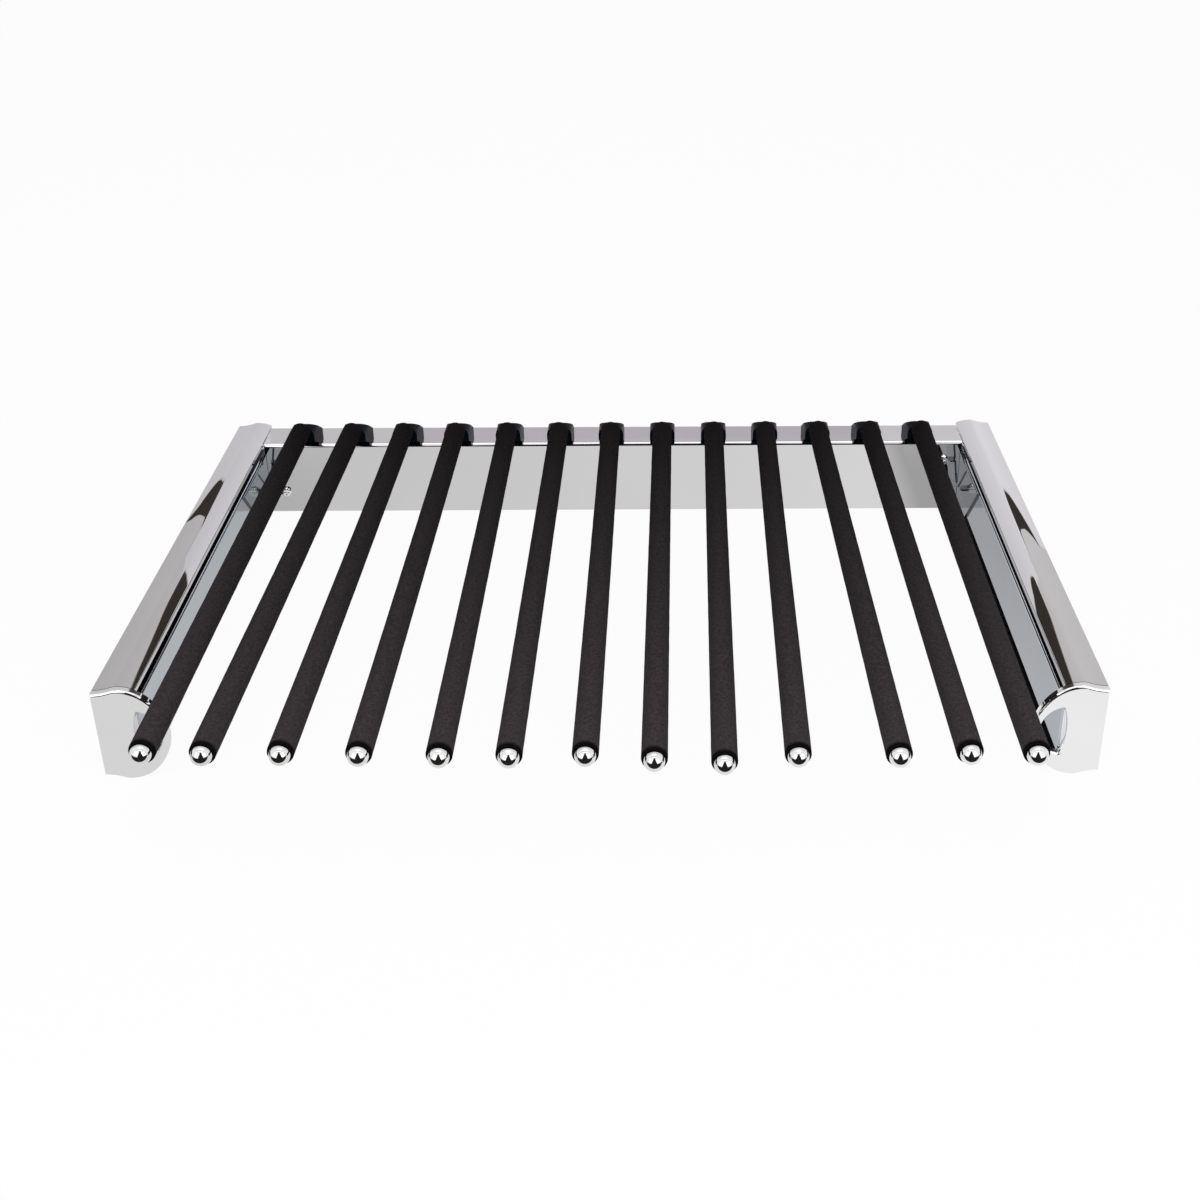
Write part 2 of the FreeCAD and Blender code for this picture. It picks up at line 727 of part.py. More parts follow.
def make_sleeve(index):
    """A foam sleeve whose mouth fits round the back of the ball."""
    start = Vector(arm_x(index), sleeve_front_y, arm_z)
    length = nose_y - tube_gap - sleeve_front_y
    outside = Part.makeCylinder(sleeve_diameter / 2.0, length, start, Vector(0, 1, 0))
    rims = edges_at(outside, lambda box: box.YLength < sleeve_edge_radius)
    outside = outside.makeFillet(sleeve_edge_radius, rims)
    bore = Part.makeCylinder(tube_diameter / 2.0 + sleeve_fit, length, start, Vector(0, 1, 0))
    seat = Part.makeSphere(ball_radius + sleeve_fit, Vector(arm_x(index), ball_y, arm_z))
    return droop_and_lean(outside.cut([bore, seat]), index)


def make_ball_end(index):
    centre = Vector(arm_x(index), ball_y, arm_z)
    ball = Part.makeSphere(ball_radius, centre)
    stem_radius = tube_bore_radius - ball_stem_fit
    stem = Part.makeCylinder(stem_radius, ball_radius + ball_stem_length, centre, Vector(0, 1, 0))
    return droop_and_lean(ball.fuse(stem).removeSplitter(), index)


save_pair("cover", make_cover())
save_pair("outer_member", make_outer_member())
save_pair("middle_member", make_middle_member())
save_pair("inner_member", make_inner_member())
outer_cage = make_cage(member_wall + cage_gap, outer_ball_depth, outer_ball_height, outer_race_radius)
inner_cage = make_cage(middle_web_end + cage_gap, inner_ball_depth, inner_ball_height, inner_race_radius)
save_pair("outer_cage", outer_cage)
save_pair("inner_cage", inner_cage)
save_group("outer_balls", both_sides(make_balls(outer_ball_diameter, outer_ball_depth, outer_ball_height)))
save_group("inner_balls", both_sides(make_balls(inner_ball_diameter, inner_ball_depth, inner_ball_height)))
save_pair("rear_buffer", make_buffer())
save_group("slide_rivets", both_sides(make_rivets()))
save_pair("side_bar", make_bar())
save_group("slide_screws", both_sides(make_slide_screws()))
save_pair("end_cap", make_cap())
save_group("cap_screws", both_sides([make_cap_screw()]))
save("rear_rail", make_rail())
save_pair("bracket", make_bracket())
save_group("bracket_rivets", both_sides(make_bracket_rivets()))
save_group("rail_screws", both_sides(make_rail_screws()))
save_group("rail_nuts", both_sides(make_rail_nuts()))
for arm in range(arm_count):
    number = "%02d" % (arm + 1)
    save("arm_socket_" + number, make_socket(arm))
    save("arm_sleeve_" + number, make_sleeve(arm))
save_group("arm_tubes", [make_tube(arm) for arm in range(arm_count)])
save_group("arm_ball_ends", [make_ball_end(arm) for arm in range(arm_count)])
save_group("socket_screws", [make_socket_screw(arm) for arm in range(arm_count)])
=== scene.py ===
import math
import bmesh
import bpy
from mathutils import Matrix, Vector, noise
from mathutils.geometry import interpolate_bezier


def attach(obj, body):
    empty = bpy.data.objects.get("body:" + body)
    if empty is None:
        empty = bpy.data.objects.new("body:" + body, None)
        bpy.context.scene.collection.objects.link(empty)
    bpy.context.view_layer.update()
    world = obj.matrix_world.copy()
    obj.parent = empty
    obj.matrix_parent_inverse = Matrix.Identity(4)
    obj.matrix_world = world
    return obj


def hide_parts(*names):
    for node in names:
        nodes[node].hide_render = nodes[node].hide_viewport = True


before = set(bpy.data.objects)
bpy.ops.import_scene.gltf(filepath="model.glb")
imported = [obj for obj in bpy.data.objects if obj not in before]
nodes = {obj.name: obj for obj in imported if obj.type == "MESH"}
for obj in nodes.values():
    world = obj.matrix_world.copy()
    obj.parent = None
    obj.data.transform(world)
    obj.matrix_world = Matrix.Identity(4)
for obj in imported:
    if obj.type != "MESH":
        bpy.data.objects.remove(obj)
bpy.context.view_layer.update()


# Side covers: two long channels of bent sheet steel, chrome plated after bending.
# Each one lies flat on the wardrobe's side panel and is screwed to it from inside, through the open mouth.
# Its inside is painted near black as painted shade, where little light gets into the channel, and made dull
# and not metallic there.
cover_mid_height = 0.0317
panel_side = 0.29
painted_inside_shade = (0.012, 0.012, 0.014)
dull_roughness = 0.6
middle_limit = -0.002
inward_limit = -0.05
drawn_to_the_rear = (1.0, 0.08, 1.0)
even_all_round = (1.0, 1.0, 1.0)


def new_finish(name, metallic, roughness):
    material = bpy.data.materials.new(name)
    material.use_nodes = True
    tree = material.node_tree
    tree.nodes.clear()
    out = tree.nodes.new("ShaderNodeOutputMaterial")
    shader = tree.nodes.new("ShaderNodeBsdfPrincipled")
    tree.links.new(shader.outputs["BSDF"], out.inputs["Surface"])
    shader.inputs["Metallic"].default_value = metallic
    shader.inputs["Roughness"].default_value = roughness
    return material, tree, shader


def pattern(tree, scale, detail, stretch=even_all_round):
    """Noise on the piece's own coordinates, in metres; stretch draws it out along an axis."""
    place = tree.nodes.new("ShaderNodeTexCoord")
    turn = tree.nodes.new("ShaderNodeMapping")
    turn.inputs["Scale"].default_value = stretch
    grain = tree.nodes.new("ShaderNodeTexNoise")
    grain.inputs["Scale"].default_value = scale
    grain.inputs["Detail"].default_value = detail
    tree.links.new(place.outputs["Object"], turn.inputs["Vector"])
    tree.links.new(turn.outputs["Vector"], grain.inputs["Vector"])
    return grain.outputs["Fac"]


def spread(tree, value, low, high, start=0.3, end=0.7):
    """A value between start and end, stretched over the range from low to high."""
    fit = tree.nodes.new("ShaderNodeMapRange")
    fit.inputs["From Min"].default_value = start
    fit.inputs["From Max"].default_value = end
    fit.inputs["To Min"].default_value = low
    fit.inputs["To Max"].default_value = high
    tree.links.new(value, fit.inputs["Value"])
    return fit.outputs["Result"]


def blend(tree, factor, first, second):
    """Two colours mixed by a factor; each may be a plain colour or a socket."""
    mix = tree.nodes.new("ShaderNodeMix")
    mix.data_type = "RGBA"
    tree.links.new(factor, mix.inputs["Factor"])
    for socket, colour in ((mix.inputs["A"], first), (mix.inputs["B"], second)):
        if isinstance(colour, tuple):
            socket.default_value = (*colour, 1.0)
        else:
            tree.links.new(colour, socket)
    return mix.outputs["Result"]


def relief(tree, shader, value, depth, strength=1.0):
    """The pattern as a shallow surface relief, depth in metres."""
    bump = tree.nodes.new("ShaderNodeBump")
    bump.inputs["Distance"].default_value = depth
    bump.inputs["Strength"].default_value = strength
    tree.links.new(value, bump.inputs["Height"])
    tree.links.new(bump.outputs["Normal"], shader.inputs["Normal"])


def plated(name, first, second, roughness, ripple=0.000004, drawn=drawn_to_the_rear):
    """Plated steel: cloudy tint, wiped smears in the gloss, and a faint ripple of the sheet."""
    material, tree, shader = new_finish(name, 1.0, roughness)
    cloud = spread(tree, pattern(tree, 14.0, 3.0), 0.0, 1.0)
    tree.links.new(blend(tree, cloud, first, second), shader.inputs["Base Color"])
    smear = spread(tree, pattern(tree, 60.0, 4.0, drawn), roughness * 0.7, roughness * 1.5)
    tree.links.new(smear, shader.inputs["Roughness"])
    relief(tree, shader, pattern(tree, 30.0, 2.0, drawn), ripple)
    return material


def shader_of(material):
    return material.node_tree.nodes["Principled BSDF"]


def math_node(tree, operation, first, second=0.0):
    """One step of arithmetic; either side may be a number or a socket."""
    step = tree.nodes.new("ShaderNodeMath")
    step.operation = operation
    for socket, value in zip(step.inputs, (first, second)):
        if isinstance(value, float):
            socket.default_value = value
        else:
            tree.links.new(value, socket)
    return step.outputs[0]


def axes_of(tree, source):
    """The X, Y and Z of a spot on the piece (Object), or of the way that its face looks (Normal)."""
    place = tree.nodes.new("ShaderNodeTexCoord")
    split = tree.nodes.new("ShaderNodeSeparateXYZ")
    tree.links.new(place.outputs[source], split.inputs["Vector"])
    return split.outputs


def inside_of_channel(tree):
    """1 on the walls of the hollow: faces that look to the middle height, or away from the panel."""
    spot = axes_of(tree, "Object")
    facing = axes_of(tree, "Normal")
    above_middle = math_node(tree, "SUBTRACT", spot["Z"], cover_mid_height)
    turned_up = math_node(tree, "MULTIPLY", above_middle, facing["Z"])
    to_middle = math_node(tree, "LESS_THAN", turned_up, middle_limit)
    turned_out = math_node(tree, "MULTIPLY", spot["X"], facing["X"])
    inwards = math_node(tree, "LESS_THAN", turned_out, inward_limit)
    near_panel = math_node(tree, "GREATER_THAN", math_node(tree, "ABSOLUTE", spot["X"]), panel_side)
    panel_wall = math_node(tree, "MULTIPLY", inwards, near_panel)
    return math_node(tree, "MAXIMUM", to_middle, panel_wall)


def lay_over(material, mask, tone):
    """A plain tone over a finish's own colour, where the mask is 1."""
    tree = material.node_tree
    base = shader_of(material).inputs["Base Color"]
    tree.links.new(blend(tree, mask, base.links[0].from_socket, tone), base)


def dress(material, *names):
    for name in names:
        nodes[name].material_slots[0].material = material


def both(name):
    return ["left_" + name, "right_" + name]


cover_chrome = plated("cover_chrome", (0.62, 0.612, 0.622), (0.598, 0.592, 0.604), 0.012, 0.0000006)
tree = cover_chrome.node_tree
shader = shader_of(cover_chrome)
# The walls of the hollow get painted shade: a near black tone, no metal and a dull gloss.
hollow = inside_of_channel(tree)
lay_over(cover_chrome, hollow, painted_inside_shade)
tree.links.new(math_node(tree, "SUBTRACT", 1.0, hollow), shader.inputs["Metallic"])
gloss = shader.inputs["Roughness"].links[0].from_socket
dull = math_node(tree, "MULTIPLY", hollow, dull_roughness)
tree.links.new(math_node(tree, "MAXIMUM", gloss, dull), shader.inputs["Roughness"])
dress(cover_chrome, *both("cover"))


# Ball slides inside the covers: zinc-plated rolled steel members, steel balls in moulded cages,
# and a rubber buffer at the rear. The outer members are riveted to the covers.
def moulded(name, first, second, roughness, depth):
    """Moulded plastic or rubber: slight flow marks in the colour and a fine skin."""
    material, tree, shader = new_finish(name, 0.0, roughness)
    flow = spread(tree, pattern(tree, 35.0, 3.0), 0.0, 1.0)
    tree.links.new(blend(tree, flow, first, second), shader.inputs["Base Color"])
    gloss = spread(tree, pattern(tree, 220.0, 3.0), roughness * 0.8, roughness * 1.25)
    tree.links.new(gloss, shader.inputs["Roughness"])
    relief(tree, shader, pattern(tree, 1500.0, 2.0), depth)
    return material


slide_zinc = plated("slide_zinc", (0.40, 0.42, 0.45), (0.33, 0.35, 0.38), 0.30)
dress(slide_zinc, *both("outer_member"), *both("middle_member"), *both("inner_member"), "slide_rivets")

bearing_polish = plated("bearing_polish", (0.66, 0.66, 0.68), (0.60, 0.60, 0.63), 0.10)
dress(bearing_polish, "outer_balls", "inner_balls")

cage_plastic = moulded("cage_plastic", (0.62, 0.62, 0.58), (0.55, 0.55, 0.52), 0.45, 0.00003)
dress(cage_plastic, *both("outer_cage"), *both("inner_cage"))

buffer_rubber = moulded("buffer_rubber", (0.022, 0.022, 0.022), (0.035, 0.034, 0.033), 0.75, 0.00005)
dress(buffer_rubber, *both("rear_buffer"))


# Side bars and corner brackets: flat steel tubes with bent plates at the rear, bluish zinc plate.
# The bars are screwed to the inner slide members, and the brackets tie them to the rail.
# The slanted edges and ribs of the brackets are given a dark tone: all faces that look along none of the
# three axes.
slanted_face_tone = (0.06, 0.065, 0.075)
slanted_face_limits = {"X": 0.5, "Y": 0.9, "Z": 0.9}

bar_zinc = plated("bar_zinc", (0.49, 0.52, 0.565), (0.46, 0.49, 0.535), 0.09)
dress(bar_zinc, *both("side_bar"), "bracket_rivets")


def slanted_edges(tree):
    """1 on faces that look along none of the three axes."""
    facing = axes_of(tree, "Normal")
    slanted = 1.0
    for axis, limit in slanted_face_limits.items():
        aside = math_node(tree, "LESS_THAN", math_node(tree, "ABSOLUTE", facing[axis]), limit)
        slanted = math_node(tree, "MULTIPLY", slanted, aside)
    return slanted


bracket_zinc = plated("bracket_zinc", (0.30, 0.335, 0.38), (0.275, 0.31, 0.35), 0.07)
# A dark tone on the faces that look along none of the axes.
lay_over(bracket_zinc, slanted_edges(bracket_zinc.node_tree), slanted_face_tone)
dress(bracket_zinc, *both("bracket"))


# End caps: zinc castings with a finger window, ground smooth and chrome plated.
# Each has a boss that fits into the front of its side bar, held by one screw from below.
cap_chrome = plated("cap_chrome", (0.83, 0.83, 0.84), (0.80, 0.80, 0.81), 0.05, 0.000003, even_all_round)
dress(cap_chrome, *both("end_cap"))


# Rear rail: one folded sheet of plated steel across the back of the sliding frame.
# It is screwed to the brackets at both ends and carries all the arms on its top.
drawn_across = (0.08, 1.0, 1.0)
rail_chrome = plated("rail_chrome", (0.675, 0.67, 0.68), (0.655, 0.65, 0.66), 0.035, 0.000002, drawn_across)
dress(rail_chrome, "rear_rail")


# Screws and nuts: bright zinc-plated steel, with pan heads where they show.
# Two at each end clamp the rail to the brackets, and one from below holds each socket.
screw_zinc = plated("screw_zinc", (0.97, 0.97, 0.96), (0.94, 0.94, 0.93), 0.11, drawn=even_all_round)
dress(screw_zinc, "slide_screws", "cap_screws", "rail_screws", "rail_nuts", "socket_screws")


# Arm sockets: moulded glossy black plastic, each held on the rail by one screw from below.
# A spigot on the front of the socket carries the arm's tube.
arm_numbers = range(1, 14)
socket_shine = 0.008
socket_gloss = moulded("socket_gloss", (0.0020, 0.0041, 0.0076), (0.0029, 0.0058, 0.0105), 0.26, 0.000006)
shader_of(socket_gloss).inputs["Specular IOR Level"].default_value = socket_shine
dress(socket_gloss, *["arm_socket_%02d" % number for number in arm_numbers])


# Arm tubes: thin drawn steel tubes, pushed on the sockets' spigots.
# The sleeves cover them from end to end.
tube_steel = plated("tube_steel", (0.48, 0.48, 0.50), (0.40, 0.40, 0.42), 0.30)
dress(tube_steel, "arm_tubes")


# Ball ends: turned steel balls, polished and chrome plated.
# Each has a stem that is pressed into the front of its tube, and sits in the mouth of the sleeve.
ball_chrome = plated("ball_chrome", (0.80, 0.81, 0.81), (0.76, 0.77, 0.77), 0.03, 0.000002, even_all_round)
dress(ball_chrome, "arm_ball_ends")


# Arm sleeves: tubes of dark closed-cell foam drawn over the steel tubes, so that trousers don't slip.
# Their front rims close round the ball ends. The skin is finely mottled and a little uneven.
# Its colour is lighter towards the front as painted light from the front lamps, and the rim round each ball
# is painted dark as painted shade.
sleeve_radius = 0.00745
bore_radius = 0.00455
bore_depth = 0.009
ball_seat_radius = 0.00605
ball_ahead = 0.0012
seat_radii = (bore_radius, 0.0049, 0.0053, 0.0057)
rim_round = 0.0013
front_rim_curve = ((0.92, 0.0), (0.62, 0.08), (0.29, 0.29), (0.08, 0.62), (0.0, 1.0))
rear_rim_curve = ((0.0, 1.0), (0.29, 0.29), (1.0, 0.0))
rim_depth = 0.0042
end_ring_depth = 0.004
length_cuts = 80
round_steps = 36
skin_unevenness = 0.00010
skin_waves_per_metre = 90.0
skin_shift_per_arm = 3.7

front_end = -0.25
rear_end = 0.21
foam_shine = 0.015
rear_tones = (0.0042, 0.0029, 0.0032), (0.0082, 0.0061, 0.0065)
front_lit_tones = (0.0345, 0.0296, 0.0305), (0.0585, 0.0510, 0.0523)
rim_shade_tone = (0.005, 0.004, 0.004)
mottle_range = 0.32, 0.68
pore_depth = 0.00010
pore_strength = 0.6

sleeve_foam, tree, shader = new_finish("sleeve_foam", 0.0, 0.85)
shader.inputs["Specular IOR Level"].default_value = foam_shine
mottle = spread(tree, pattern(tree, 560.0, 4.0), 0.0, 1.0, *mottle_range)
rear_skin = blend(tree, mottle, *rear_tones)
front_lit_skin = blend(tree, mottle, *front_lit_tones)
# Painted light: the skin goes from the dark rear tones to the lighter front tones, as the front lamps light
# the front more.
front_light_share = spread(tree, axes_of(tree, "Object")["Y"], 1.0, 0.0, front_end, rear_end)
# Painted shade: a near black tone on the rim round each ball, where the sleeve's mouth is in shadow.
rim_shade_mask = tree.nodes.new("ShaderNodeAttribute")
rim_shade_mask.attribute_name = "rim"
skin = blend(tree, front_light_share, rear_skin, front_lit_skin)
tree.links.new(blend(tree, rim_shade_mask.outputs["Fac"], skin, rim_shade_tone), shader.inputs["Base Color"])
relief(tree, shader, pattern(tree, 1400.0, 3.0), pore_depth, pore_strength)


def sleeve_end(node, front):
    """The middle of a sleeve's front or rear end, from the CAD sleeve, and how far it reaches."""
    points = [v.co for v in nodes[node].data.vertices]
    reach = min(p.y for p in points) if front else max(p.y for p in points)
    ring = [p for p in points if abs(p.y - reach) < end_ring_depth]
    low = Vector([min(p[axis] for p in ring) for axis in range(3)])
    high = Vector([max(p[axis] for p in ring) for axis in range(3)])
    return (low + high) / 2.0, reach


def sleeve_outline(length):
    """Half of a sleeve's section, as radius and distance from its front: bore, ball seat, rims, bore."""
    outline = [(bore_radius, bore_depth)]
    for radius in seat_radii:
        outline.append((radius, math.sqrt(ball_seat_radius ** 2 - radius ** 2) - ball_ahead))
    outline.append((math.sqrt(ball_seat_radius ** 2 - ball_ahead ** 2), 0.0))
    for inward, back in front_rim_curve:
        outline.append((sleeve_radius - rim_round * inward, rim_round * back))
    outline.append((sleeve_radius, rim_depth))
    for inward, ahead in rear_rim_curve:
        outline.append((sleeve_radius - rim_round * inward, length - rim_round * ahead))
    return outline + [(bore_radius, length), (bore_radius, length - bore_depth)]


def make_sleeve(number):
    node = "arm_sleeve_%02d" % number
    front, front_y = sleeve_end(node, True)
    rear, rear_y = sleeve_end(node, False)
    axis = (rear - front).normalized()
    start = front + axis * ((front_y - front.y) / axis.y)
    length = (rear_y - front_y) / axis.y
    shape = bmesh.new()
    corners = [shape.verts.new((radius, 0.0, along)) for radius, along in sleeve_outline(length)]
    edges = [shape.edges.new(pair) for pair in zip(corners, corners[1:])]
    longest = max(edges, key=lambda edge: edge.calc_length())
    bmesh.ops.subdivide_edges(shape, edges=[longest], cuts=length_cuts)
    bmesh.ops.spin(shape, geom=shape.verts[:] + shape.edges[:], axis=(0, 0, 1), cent=(0, 0, 0),
                   angle=math.tau, steps=round_steps, use_merge=True)
    bmesh.ops.remove_doubles(shape, verts=shape.verts, dist=0.00001)
    bmesh.ops.recalc_face_normals(shape, faces=shape.faces)
    shape.normal_update()
    # The rim layer marks the sleeve's front end, where the painted shade goes.
    rim = shape.verts.layers.float.new("rim")
    for vert in shape.verts:
        vert[rim] = min(1.0, max(0.0, 2.0 - 2.0 * vert.co.z / rim_depth))
        spot = vert.co * skin_waves_per_metre + Vector((number * skin_shift_per_arm, 0.0, 0.0))
        vert.co += vert.normal * (noise.noise(spot) - 0.5) * skin_unevenness
    place = Matrix.Translation(start) @ axis.to_track_quat("Z", "Y").to_matrix().to_4x4()
    bmesh.ops.transform(shape, matrix=place, verts=shape.verts)
    mesh = bpy.data.meshes.new("foam_sleeve_%02d" % number)
    shape.to_mesh(mesh)
    shape.free()
    mesh.polygons.foreach_set("use_smooth", [True] * len(mesh.polygons))
    mesh.materials.append(sleeve_foam)
    sleeve = bpy.data.objects.new(mesh.name, mesh)
    bpy.context.scene.collection.objects.link(sleeve)
    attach(sleeve, "rack")
    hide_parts(node)


for number in arm_numbers:
    make_sleeve(number)


# Studio: a white sheet on a table as floor, inside a light tent whose rear panel is a white arch.
# The tent has dark gaps: beside the arch, in a nearer panel, overhead and where the camera looks in.
# The cards show only in the metal, as the tent does in a real studio.
white = (1.0, 1.0, 1.0)
sheet_tone = (0.95, 0.95, 0.95)
sheet_plain_share = 0.95
sheet_size = 30.0
sheet_height = -0.0003
room_tone = (0.98, 0.99, 1.0)
room_glow = 0.36
gap_tone = (1.0, 0.86, 0.76)
wall_tone = (1.0, 0.985, 0.985)
arch_tone = (0.99, 0.975, 1.0)
fold_tone = (1.0, 0.97, 1.0)
rail_shade_tone = (1.0, 0.945, 1.0)
gap_glow = 0.05
deep_gap_glow = 0.02
wall_y = 3.40
arch_y = 3.27
side_gap_y = 3.25
fold_y = 3.245
rail_shade_y = 3.24
near_panel_y = 1.50
near_panel_edge_y = 1.505
camera_gap_y = -1.25
tent_side = 1.6
sheet_front = -0.295
strip_front = -0.15
strip_rear = 0.26
bow_points = 15


def glow_material(name, colour, low, high, axis, start, end):
    """A plain glow that runs from one strength to another along an axis."""
    material = bpy.data.materials.new(name)
    material.use_nodes = True
    tree = material.node_tree
    tree.nodes.clear()
    out = tree.nodes.new("ShaderNodeOutputMaterial")
    glow = tree.nodes.new("ShaderNodeEmission")
    glow.inputs["Color"].default_value = (*colour, 1.0)
    tree.links.new(glow.outputs["Emission"], out.inputs["Surface"])
    strength = spread(tree, axes_of(tree, "Object")[axis], low, high, start, end)
    tree.links.new(strength, glow.inputs["Strength"])
    return material


def card(name, points, colour, low, high, axis="X", start=-tent_side, end=tent_side):
    """A flat glowing panel that only metal and other glossy faces show."""
    shape = bmesh.new()
    shape.faces.new([shape.verts.new(point) for point in points])
    mesh = bpy.data.meshes.new(name)
    shape.to_mesh(mesh)
    shape.free()
    mesh.materials.append(glow_material(name, colour, low, high, axis, start, end))
    panel = bpy.data.objects.new(name, mesh)
    bpy.context.scene.collection.objects.link(panel)
    panel.visible_camera = False
    panel.visible_diffuse = False
    panel.visible_shadow = False
    panel.visible_transmission = False


def wall_card(name, outline, y, colour, low, high):
    """A card that stands upright, from its outline in width and height."""
    card(name, [(x, y, z) for x, z in outline], colour, low, high)


def floor_card(name, left, right, front, rear, z, colour, low, high, **run):
    """A card that lies flat; run gives the axis of its glow, and where that starts and ends."""
    points = [(left, front, z), (right, front, z), (right, rear, z), (left, rear, z)]
    card(name, points, colour, low, high, **run)


def rectangle(left, right, low, high):
    """The outline of an upright rectangle."""
    return [(left, low), (right, low), (right, high), (left, high)]


def bow(start, middle, end):
    """A smooth curve from start to end through a middle point."""
    start, middle, end = Vector(start), Vector(middle), Vector(end)
    pull = middle * 2.0 - (start + end) / 2.0
    return interpolate_bezier(start, start.lerp(pull, 2 / 3), end.lerp(pull, 2 / 3), end, bow_points)


def seen_by_eye_or_metal(tree):
    """1 for rays from the camera, or from metal or glass, and 0 for plain light."""
    path = tree.nodes.new("ShaderNodeLightPath")
    seen = math_node(tree, "MAXIMUM", path.outputs["Is Camera Ray"], path.outputs["Is Glossy Ray"])
    return math_node(tree, "MAXIMUM", seen, path.outputs["Is Transmission Ray"])


sheet_white = bpy.data.materials.new("sheet_white")
sheet_white.use_nodes = True
tree = sheet_white.node_tree
tree.nodes.clear()
out = tree.nodes.new("ShaderNodeOutputMaterial")
matt = tree.nodes.new("ShaderNodeBsdfDiffuse")
matt.inputs["Color"].default_value = (*sheet_tone, 1.0)
plain = tree.nodes.new("ShaderNodeEmission")
plain.inputs["Color"].default_value = (*white, 1.0)
mix = tree.nodes.new("ShaderNodeMixShader")
share = math_node(tree, "MULTIPLY", seen_by_eye_or_metal(tree), sheet_plain_share)
tree.links.new(share, mix.inputs["Fac"])
tree.links.new(matt.outputs["BSDF"], mix.inputs[1])
tree.links.new(plain.outputs["Emission"], mix.inputs[2])
tree.links.new(mix.outputs["Shader"], out.inputs["Surface"])

floor_shape = bmesh.new()
bmesh.ops.create_grid(floor_shape, x_segments=2, y_segments=2, size=sheet_size)
bmesh.ops.translate(floor_shape, vec=(0.0, 0.0, sheet_height), verts=floor_shape.verts)
floor_mesh = bpy.data.meshes.new("white_sheet")
floor_shape.to_mesh(floor_mesh)
floor_shape.free()
floor_mesh.materials.append(sheet_white)
floor = bpy.data.objects.new("white_sheet", floor_mesh)
bpy.context.scene.collection.objects.link(floor)

left_inner = bow((-1.99, 0.50), (-1.72, 1.02), (-1.47, 1.535))
left_outer = bow((-2.08, 0.50), (-1.865, 1.02), (-1.47, 1.535))
right_inner = bow((1.86, 0.55), (1.69, 1.00), (1.455, 1.545))
right_outer = bow((2.03, 0.55), (1.83, 1.00), (1.455, 1.545))
arch_top = [(-1.25, 1.82), *bow((-1.0, 1.97), (-0.1, 2.22), (0.97, 1.93)), (1.25, 1.74)]
arch = [(-2.0, -0.2), *left_inner, *arch_top, *reversed(right_inner), (2.0, -0.2)]
gap_hem = bow((-0.50, 0.98), (-0.12, 1.016), (0.505, 0.955))
edge_peak = [(0.51, 1.04), (0.48, 1.07), (0.0, 1.36), (-0.48, 1.09), (-0.51, 1.06)]
gap_peak = [(0.495, 1.03), (0.46, 1.06), (0.0, 1.33), (-0.46, 1.085), (-0.49, 1.05)]
camera_gap = [(-0.56, 0.0), (0.64, 0.0), (0.40, 0.78), (0.28, 1.5),
              (0.22, 2.3), (-0.14, 2.3), (-0.20, 1.5), (-0.32, 0.78)]

wall_card("pale_wall", rectangle(-6.0, 6.0, -0.2, 5.0), wall_y, wall_tone, 0.66, 0.80)
wall_card("white_backdrop", arch, arch_y, arch_tone, 0.80, 1.04)
wall_card("gap_above_edge", [*gap_hem, *edge_peak], near_panel_edge_y, gap_tone, 0.30, 0.34)
wall_card("gap_above", [*gap_hem, *gap_peak], near_panel_y, gap_tone, gap_glow, gap_glow)
wall_card("gap_left", [*left_inner, *reversed(left_outer)], side_gap_y, gap_tone, gap_glow, gap_glow)
wall_card("gap_right", [*right_inner, *reversed(right_outer)], side_gap_y, gap_tone, gap_glow, gap_glow)
# The fold and the rail shade are bands of painted shade on the rear wall, which the rail's top shows.
wall_card("backdrop_fold", rectangle(-1.05, 1.05, 1.28, 1.39), fold_y, fold_tone, 0.70, 0.82)
wall_card("rail_shade", rectangle(-0.64, 0.65, 1.28, 1.39), rail_shade_y, rail_shade_tone, 0.62, 0.62)
floor_card("bright_sheet", -2.5, 2.5, sheet_front, 3.2, -0.0001, white, 0.80, 1.0, start=-0.27, end=0.27)
floor_card("right_sheet_shade", 0.2265, 0.25, strip_front, strip_rear, 0.0, white, 0.75, 0.50,
           start=0.2265, end=0.25)
floor_card("right_bar_shade", 0.25, 0.31, strip_front, strip_rear, 0.0, white, 0.65, 0.50,
           axis="Y", start=-0.08, end=0.15)
floor_card("left_bar_shade", -0.31, -0.235, strip_front, strip_rear, 0.0, white, 0.775, 0.64,
           axis="Y", start=-0.08, end=0.20)
floor_card("dark_floor", -4.0, 4.0, -6.0, sheet_front, 0.0004, gap_tone, deep_gap_glow, deep_gap_glow)
wall_card("camera_gap", camera_gap, camera_gap_y, gap_tone, deep_gap_glow, deep_gap_glow)
floor_card("gap_overhead", -0.8, 0.8, -0.56, -0.32, 2.0, gap_tone, deep_gap_glow, deep_gap_glow)


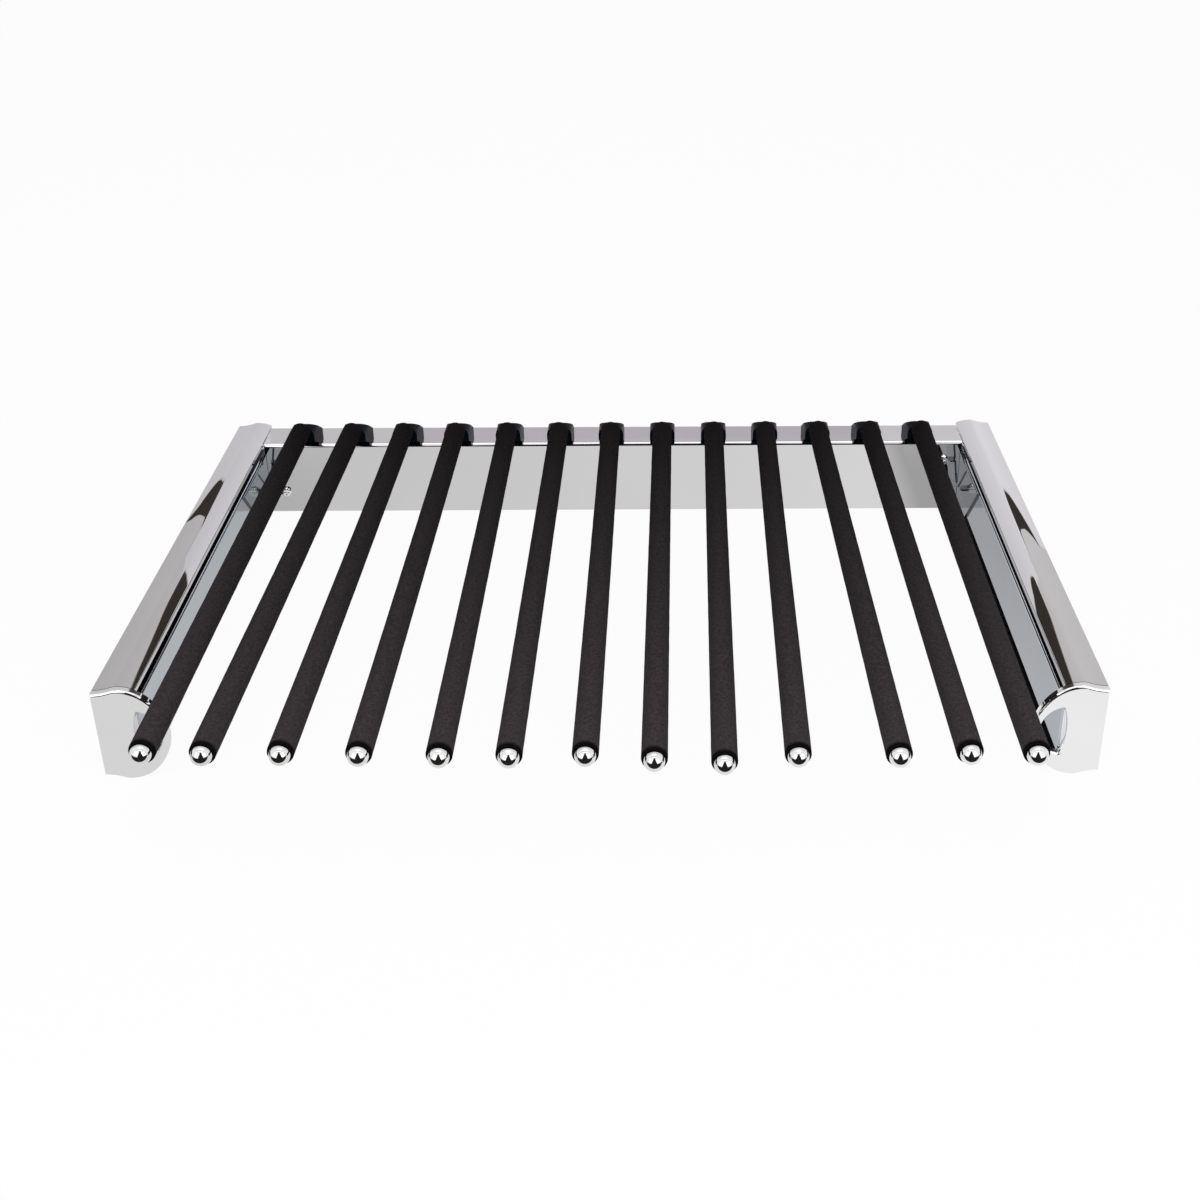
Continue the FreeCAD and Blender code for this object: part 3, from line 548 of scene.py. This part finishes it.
def softbox(name, place, target, size, glow):
    """An area lamp whose face glows with the given strength, turned to a target."""
    lamp = bpy.data.lights.new(name, "AREA")
    lamp.shape = "RECTANGLE"
    lamp.size = size[0]
    lamp.size_y = size[1]
    lamp.energy = glow * math.pi * size[0] * size[1]
    light = bpy.data.objects.new(name, lamp)
    light.location = place
    light.rotation_euler = (Vector(target) - Vector(place)).to_track_quat("-Z", "Y").to_euler()
    bpy.context.scene.collection.objects.link(light)
    return light


softbox("left_softbox", (-1.15, -1.35, 0.95), (0.0, -0.1, 0.05), (1.1, 1.3), 1.3)
softbox("right_softbox", (1.25, -1.35, 0.95), (0.0, -0.1, 0.05), (1.1, 1.3), 1.5)
softbox("top_softbox", (0.0, -0.2, 2.2), (0.0, 0.0, 0.0), (1.6, 1.6), 1.0)
front_softbox = softbox("front_softbox", (0.1, -0.95, 1.0), (0.05, -0.2, 0.08), (1.4, 0.5), 2.6)
front_softbox.visible_glossy = False

world = bpy.data.worlds.new("studio")
bpy.context.scene.world = world
world.use_nodes = True
tree = world.node_tree
tree.nodes.clear()
out = tree.nodes.new("ShaderNodeOutputWorld")
room = tree.nodes.new("ShaderNodeBackground")
room.inputs["Color"].default_value = (*room_tone, 1.0)
room.inputs["Strength"].default_value = room_glow
page = tree.nodes.new("ShaderNodeBackground")
page.inputs["Color"].default_value = (*white, 1.0)
page.inputs["Strength"].default_value = 1.0
mix = tree.nodes.new("ShaderNodeMixShader")
tree.links.new(seen_by_eye_or_metal(tree), mix.inputs["Fac"])
tree.links.new(room.outputs["Background"], mix.inputs[1])
tree.links.new(page.outputs["Background"], mix.inputs[2])
tree.links.new(mix.outputs["Shader"], out.inputs["Surface"])

bpy.context.scene.view_settings.view_transform = "Standard"


# Camera: it looks down on the rack from the front, a little right of its middle.
# Its place, tilt and lens come from the fit on the rack's straight edges. The picture is shifted sideways.
eye_place = (0.0341, -0.9723, 0.5791)
eye_tilt = math.radians(60.83)
eye_roll = math.radians(-0.272)
eye = bpy.data.cameras.new("eye")
eye.sensor_width = 36.0
eye.lens = 48.777
eye.shift_x = -0.0472
camera = bpy.data.objects.new("camera", eye)
camera.location = eye_place
camera.rotation_euler = (Matrix.Rotation(eye_tilt, 3, "X") @ Matrix.Rotation(eye_roll, 3, "Z")).to_euler()
bpy.context.scene.collection.objects.link(camera)
bpy.context.scene.camera = camera
